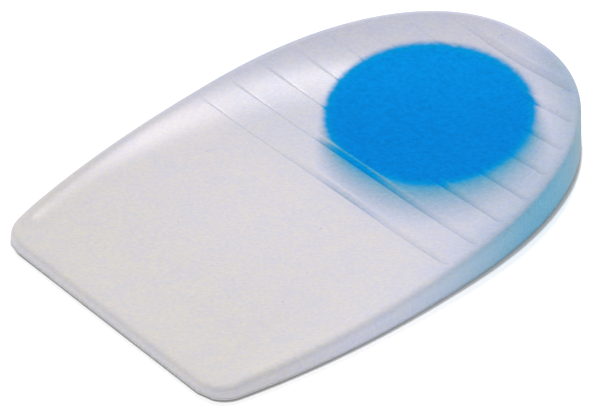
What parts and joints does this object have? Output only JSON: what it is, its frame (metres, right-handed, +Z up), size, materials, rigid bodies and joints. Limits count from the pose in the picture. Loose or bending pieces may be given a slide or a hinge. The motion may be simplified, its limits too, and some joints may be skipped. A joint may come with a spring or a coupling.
{
  "type": "heel pad",
  "caption": "Silicone heel pad with a round soft plug under the heel and a grooved felt cover, a thin wedge that lies inside a shoe.",
  "frame": {"origin": "under the middle of the pad, on the flat underside that it rests on", "axes": "+X across the pad to the wearer's right, +Y from the thin front edge to the heel, +Z up through the felt"},
  "size_m": [0.065, 0.1002, 0.0092],
  "materials": {
    "silicone": "clear silicone, smooth and slightly cloudy",
    "blue_gel": "soft blue silicone, smooth",
    "felt": "white microfibre felt, matt with a faint sheen"
  },
  "bodies": {
    "root": {"gel_body": "silicone", "soft_core": "blue_gel", "cover": "felt"}
  },
  "joints": []
}
